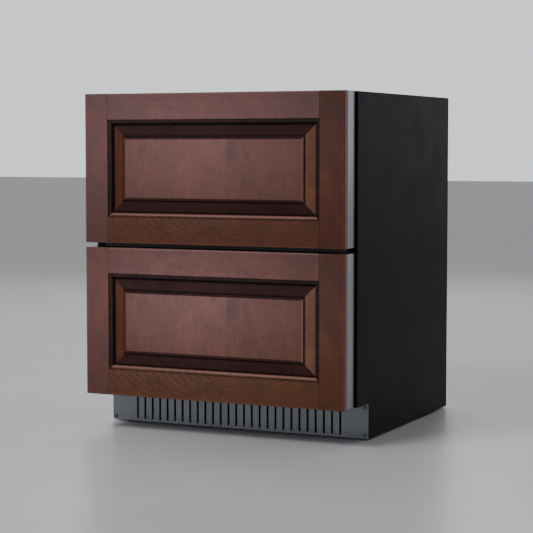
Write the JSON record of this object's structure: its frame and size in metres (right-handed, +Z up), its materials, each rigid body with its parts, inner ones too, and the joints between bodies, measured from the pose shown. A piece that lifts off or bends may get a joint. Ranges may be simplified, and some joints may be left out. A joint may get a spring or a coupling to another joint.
{
  "type": "under counter drawer refrigerator",
  "caption": "Under-counter refrigerator with stacked pull-out drawers, raised-panel wood overlay fronts, a black cabinet and a slotted steel toe grille.",
  "frame": {"origin": "on the floor, under the middle of the whole appliance with its drawers shut", "axes": "+X to the right seen from the front, +Y to the back, +Z up; the drawers open towards -Y"},
  "size_m": [0.683, 0.6826, 0.806],
  "materials": {
    "stained_wood": "cherry or mahogany stain under semi-gloss lacquer, darker glaze in the mouldings",
    "pan_steel": "fine vertical brushing",
    "black_cabinet": "satin black powder coat",
    "grille_steel": "brushed dark stainless",
    "screw_zinc": "bright plated",
    "rigid_foam": "cut rigid foam",
    "liner_plastic": "smooth light moulding with a soft gloss",
    "trim_plastic": "matt extrusion",
    "seal_rubber": "matt flexible seal",
    "bin_steel": "brushed stainless",
    "slide_steel": "zinc plated and lightly oiled",
    "coil_aluminium": "thin plain fins",
    "fan_plastic": "moulded, matt",
    "fan_motor_metal": "dark painted",
    "compressor_paint": "thick gloss paint",
    "copper_pipe": "drawn copper, slightly dull",
    "control_plastic": "dark gloss with a smoked display window",
    "button_plastic": "fine-grained",
    "lamp_diffuser": "frosted white",
    "foot_plastic": "moulded pad on a steel stud"
  },
  "bodies": {
    "cabinet": {"cabinet_wrap": "black_cabinet", "rear_panel": "black_cabinet", "bottom_deck": "black_cabinet", "foam_insulation": "rigid_foam", "inner_liner": "liner_plastic", "breaker_trim": "trim_plastic", "center_mullion": "trim_plastic", "kick_plate": "grille_steel", "kick_plate_screws": "screw_zinc", "base_pan": "black_cabinet", "evaporator_cover": "liner_plastic", "evaporator_coil": "coil_aluminium", "evaporator_fan_motor": "fan_motor_metal", "condenser_coil": "coil_aluminium", "condenser_fan_motor": "fan_motor_metal", "compressor": "compressor_paint", "refrigerant_lines": "copper_pipe", "control_panel": "control_plastic", "light_bars": "lamp_diffuser", "upper_slide_fixed_left": "slide_steel", "upper_slide_fixed_right": "slide_steel", "lower_slide_fixed_left": "slide_steel", "lower_slide_fixed_right": "slide_steel"},
    "upper_drawer": {"upper_stile_left": "stained_wood", "upper_stile_right": "stained_wood", "upper_rail_top": "stained_wood", "upper_rail_bottom": "stained_wood", "upper_center_panel": "stained_wood", "upper_front_pan": "pan_steel", "upper_front_foam": "rigid_foam", "upper_front_liner": "liner_plastic", "upper_gasket": "seal_rubber", "upper_bin": "bin_steel", "upper_slide_runner_left": "slide_steel", "upper_slide_runner_right": "slide_steel"},
    "lower_drawer": {"lower_stile_left": "stained_wood", "lower_stile_right": "stained_wood", "lower_rail_top": "stained_wood", "lower_rail_bottom": "stained_wood", "lower_center_panel": "stained_wood", "lower_front_pan": "pan_steel", "lower_front_foam": "rigid_foam", "lower_front_liner": "liner_plastic", "lower_gasket": "seal_rubber", "lower_bin": "bin_steel", "lower_slide_runner_left": "slide_steel", "lower_slide_runner_right": "slide_steel"},
    "upper_slide_middles": {"upper_slide_middle_left": "slide_steel", "upper_slide_middle_right": "slide_steel"},
    "lower_slide_middles": {"lower_slide_middle_left": "slide_steel", "lower_slide_middle_right": "slide_steel"},
    "evaporator_fan": {"evaporator_fan_blades": "fan_plastic"},
    "condenser_fan": {"condenser_fan_blades": "fan_plastic"},
    "foot_front_left": {"foot_front_left": "foot_plastic"},
    "foot_front_right": {"foot_front_right": "foot_plastic"},
    "foot_rear_left": {"foot_rear_left": "foot_plastic"},
    "foot_rear_right": {"foot_rear_right": "foot_plastic"},
    "button_warmer": {"button_warmer": "button_plastic"},
    "button_colder": {"button_colder": "button_plastic"},
    "button_light": {"button_light": "button_plastic"}
  },
  "joints": [
    {"name": "upper_drawer_slide", "type": "slide", "parent": "cabinet", "child": "upper_drawer", "axis": [0, -1, 0], "range_m": [0, 0.42]},
    {"name": "upper_slide_extension", "type": "slide", "parent": "cabinet", "child": "upper_slide_middles", "axis": [0, -1, 0], "range_m": [0, 0.21]},
    {"name": "lower_drawer_slide", "type": "slide", "parent": "cabinet", "child": "lower_drawer", "axis": [0, -1, 0], "range_m": [0, 0.33]},
    {"name": "lower_slide_extension", "type": "slide", "parent": "cabinet", "child": "lower_slide_middles", "axis": [0, -1, 0], "range_m": [0, 0.165]},
    {"name": "evaporator_fan_spin", "type": "hinge", "parent": "cabinet", "child": "evaporator_fan", "pos_m": [0, 0.25, 0.64], "axis": [0, 1, 0], "continuous": true},
    {"name": "condenser_fan_spin", "type": "hinge", "parent": "cabinet", "child": "condenser_fan", "pos_m": [0.13, 0.232, 0.112], "axis": [0, 1, 0], "continuous": true},
    {"name": "foot_front_left_adjust", "type": "slide", "parent": "cabinet", "child": "foot_front_left", "axis": [0, 0, -1], "range_m": [0, 0.015]},
    {"name": "foot_front_right_adjust", "type": "slide", "parent": "cabinet", "child": "foot_front_right", "axis": [0, 0, -1], "range_m": [0, 0.015]},
    {"name": "foot_rear_left_adjust", "type": "slide", "parent": "cabinet", "child": "foot_rear_left", "axis": [0, 0, -1], "range_m": [0, 0.015]},
    {"name": "foot_rear_right_adjust", "type": "slide", "parent": "cabinet", "child": "foot_rear_right", "axis": [0, 0, -1], "range_m": [0, 0.015]},
    {"name": "button_warmer_press", "type": "slide", "parent": "cabinet", "child": "button_warmer", "axis": [0, 1, 0], "range_m": [0, 0.001], "stiffness_N_per_m": 800, "springref_m": -0.001},
    {"name": "button_colder_press", "type": "slide", "parent": "cabinet", "child": "button_colder", "axis": [0, 1, 0], "range_m": [0, 0.001], "stiffness_N_per_m": 800, "springref_m": -0.001},
    {"name": "button_light_press", "type": "slide", "parent": "cabinet", "child": "button_light", "axis": [0, 1, 0], "range_m": [0, 0.001], "stiffness_N_per_m": 800, "springref_m": -0.001}
  ],
  "couplings": [
    {"joint": "upper_slide_extension", "follows": "upper_drawer_slide", "ratio": 0.5},
    {"joint": "lower_slide_extension", "follows": "lower_drawer_slide", "ratio": 0.5}
  ]
}
